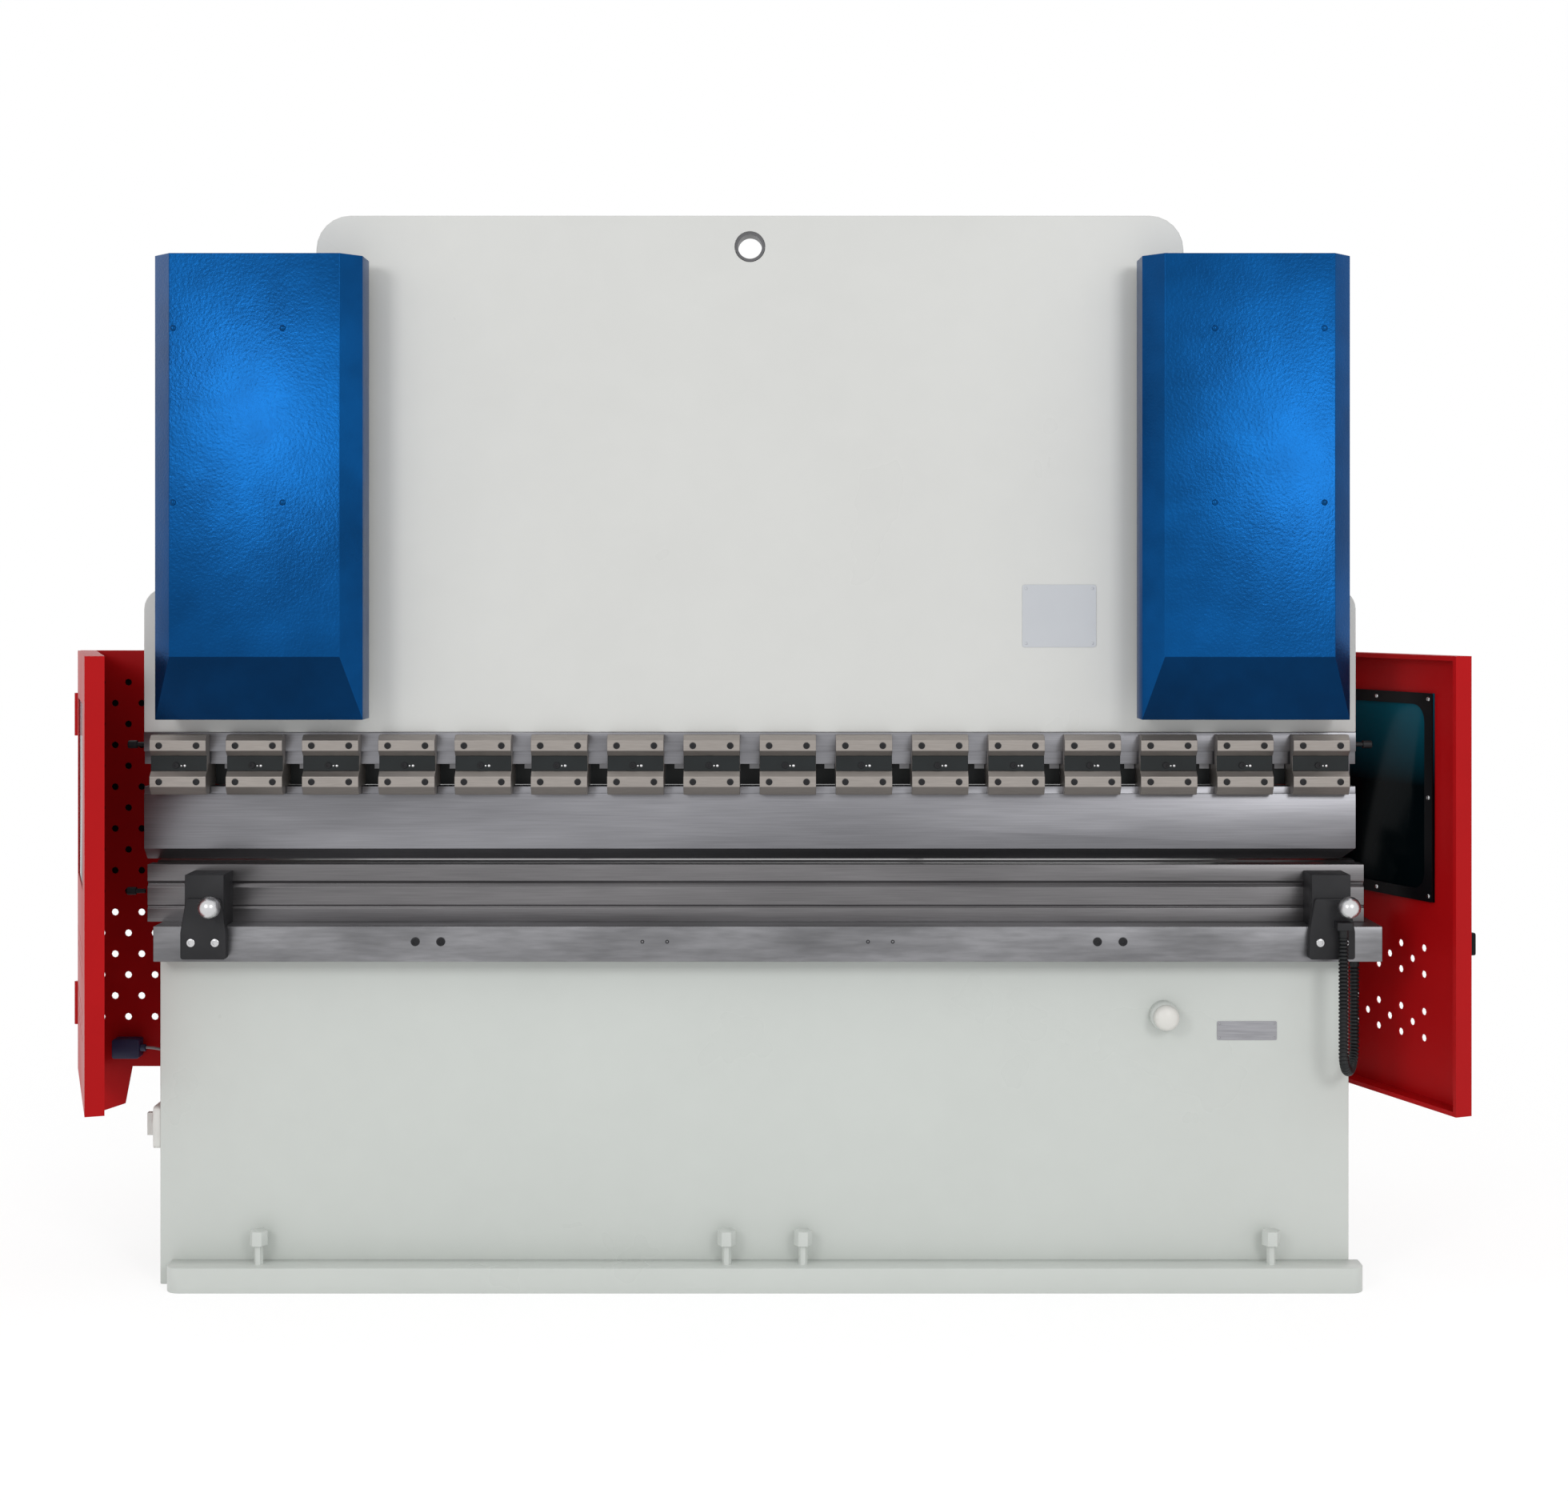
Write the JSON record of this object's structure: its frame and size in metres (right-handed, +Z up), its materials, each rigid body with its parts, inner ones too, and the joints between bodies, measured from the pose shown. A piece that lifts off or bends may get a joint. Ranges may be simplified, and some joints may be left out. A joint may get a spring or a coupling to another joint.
{
  "type": "hydraulic press brake",
  "caption": "Hydraulic press brake with an ivory ram and bed, blue cylinder covers, a row of punch clamps, a block die and red hinged side guards.",
  "frame": {"origin": "on the floor under the middle of the bend line", "axes": "+X along the bend to the right, +Y to the rear, +Z up"},
  "size_m": [3.7545, 1.4693, 2.8086],
  "materials": {
    "ivory_paint": "smooth ivory enamel",
    "blue_paint": "fine textured blue powder coat",
    "red_paint": "smooth red powder coat",
    "ground_steel": "ground along the length",
    "clamp_steel": "milled and lightly oiled",
    "black_oxide": "blackened",
    "black_plastic": "matt ribbed hose",
    "polished_steel": "polished",
    "tinted_window": "dark teal tint",
    "navy_plastic": "moulded",
    "grey_plastic": "moulded"
  },
  "bodies": {
    "frame": {"left_side_frame": "ivory_paint", "right_side_frame": "ivory_paint", "bed": "ivory_paint", "bed_foot": "ivory_paint", "table_rail": "ground_steel", "lower_die": "ground_steel", "oil_tank": "ivory_paint", "rear_cross_beam": "ivory_paint", "left_cylinder": "ivory_paint", "right_cylinder": "ivory_paint", "left_cylinder_cover": "blue_paint", "right_cylinder_cover": "blue_paint", "pump_motor": "blue_paint", "valve_block": "ground_steel", "left_ram_guide": "ground_steel", "right_ram_guide": "ground_steel", "left_die_clamp": "black_oxide", "right_die_clamp": "black_oxide", "switch_base": "grey_plastic", "left_guard_panel": "red_paint", "right_guard_panel": "red_paint", "interlock_switch": "navy_plastic", "left_gauge_rail": "ground_steel", "right_gauge_rail": "ground_steel", "button_collar": "grey_plastic", "conduit": "black_plastic", "interlock_cable": "grey_plastic"},
    "ram_body": {"ram": "ivory_paint", "punch_rail": "ground_steel", "punch_clamp_01": "clamp_steel", "punch_clamp_02": "clamp_steel", "punch_clamp_03": "clamp_steel", "punch_clamp_04": "clamp_steel", "punch_clamp_05": "clamp_steel", "punch_clamp_06": "clamp_steel", "punch_clamp_07": "clamp_steel", "punch_clamp_08": "clamp_steel", "punch_clamp_09": "clamp_steel", "punch_clamp_10": "clamp_steel", "punch_clamp_11": "clamp_steel", "punch_clamp_12": "clamp_steel", "punch_clamp_13": "clamp_steel", "punch_clamp_14": "clamp_steel", "punch_clamp_15": "clamp_steel", "punch_clamp_16": "clamp_steel", "punch": "ground_steel", "left_piston_rod": "polished_steel", "right_piston_rod": "polished_steel"},
    "torsion": {"torsion_shaft": "ground_steel"},
    "gauge": {"back_gauge": "ivory_paint"},
    "left_screw": {"left_gauge_screw": "ground_steel"},
    "right_screw": {"right_gauge_screw": "ground_steel"},
    "left_door": {"left_guard_door": "red_paint", "left_guard_window": "tinted_window"},
    "right_door": {"right_guard_door": "red_paint", "right_guard_window": "tinted_window"},
    "switch": {"switch_knob": "grey_plastic"},
    "button": {"palm_button": "ivory_paint"},
    "left_knob": {"left_clamp_knob": "polished_steel"},
    "right_knob": {"right_clamp_knob": "polished_steel"}
  },
  "joints": [
    {"name": "ram_slide", "type": "slide", "parent": "frame", "child": "ram_body", "axis": [0, 0, 1], "range_m": [0, 0.19]},
    {"name": "torsion_turn", "type": "hinge", "parent": "frame", "child": "torsion", "pos_m": [0, 0.33, 1.7896], "axis": [-1, 0, 0], "range_deg": [-1, 46]},
    {"name": "gauge_slide", "type": "slide", "parent": "frame", "child": "gauge", "axis": [0, 1, 0], "range_m": [0, 0.3]},
    {"name": "left_screw_turn", "type": "hinge", "parent": "frame", "child": "left_screw", "pos_m": [-0.7, 0.45, 0.805], "axis": [0, 1, 0], "continuous": true},
    {"name": "right_screw_turn", "type": "hinge", "parent": "frame", "child": "right_screw", "pos_m": [0.7, 0.45, 0.805], "axis": [0, 1, 0], "continuous": true},
    {"name": "left_guard_hinge", "type": "hinge", "parent": "frame", "child": "left_door", "pos_m": [-1.903, 0.37, 1.0645], "axis": [0, 0, -1], "range_deg": [0, 80]},
    {"name": "right_guard_hinge", "type": "hinge", "parent": "frame", "child": "right_door", "pos_m": [1.594, 0.37, 1.0645], "axis": [0, 0, 1], "range_deg": [-8, 60]},
    {"name": "switch_turn", "type": "hinge", "parent": "frame", "child": "switch", "pos_m": [-1.5663, -0.015, 0.408], "axis": [-1, 0, 0], "range_deg": [0, 90]},
    {"name": "button_press", "type": "slide", "parent": "frame", "child": "button", "axis": [0, 1, 0], "range_m": [0, 0.006], "stiffness_N_per_m": 600, "springref_m": -0.01},
    {"name": "left_knob_turn", "type": "hinge", "parent": "frame", "child": "left_knob", "pos_m": [-1.375, -0.1853, 1.01], "axis": [0, -1, 0], "continuous": true},
    {"name": "right_knob_turn", "type": "hinge", "parent": "frame", "child": "right_knob", "pos_m": [1.531, -0.1853, 1.01], "axis": [0, -1, 0], "continuous": true}
  ],
  "couplings": [
    {"joint": "torsion_turn", "follows": "ram_slide", "rad_per_m": 4.1232},
    {"joint": "left_screw_turn", "follows": "gauge_slide", "rad_per_m": 314.16},
    {"joint": "right_screw_turn", "follows": "gauge_slide", "rad_per_m": 314.16}
  ]
}
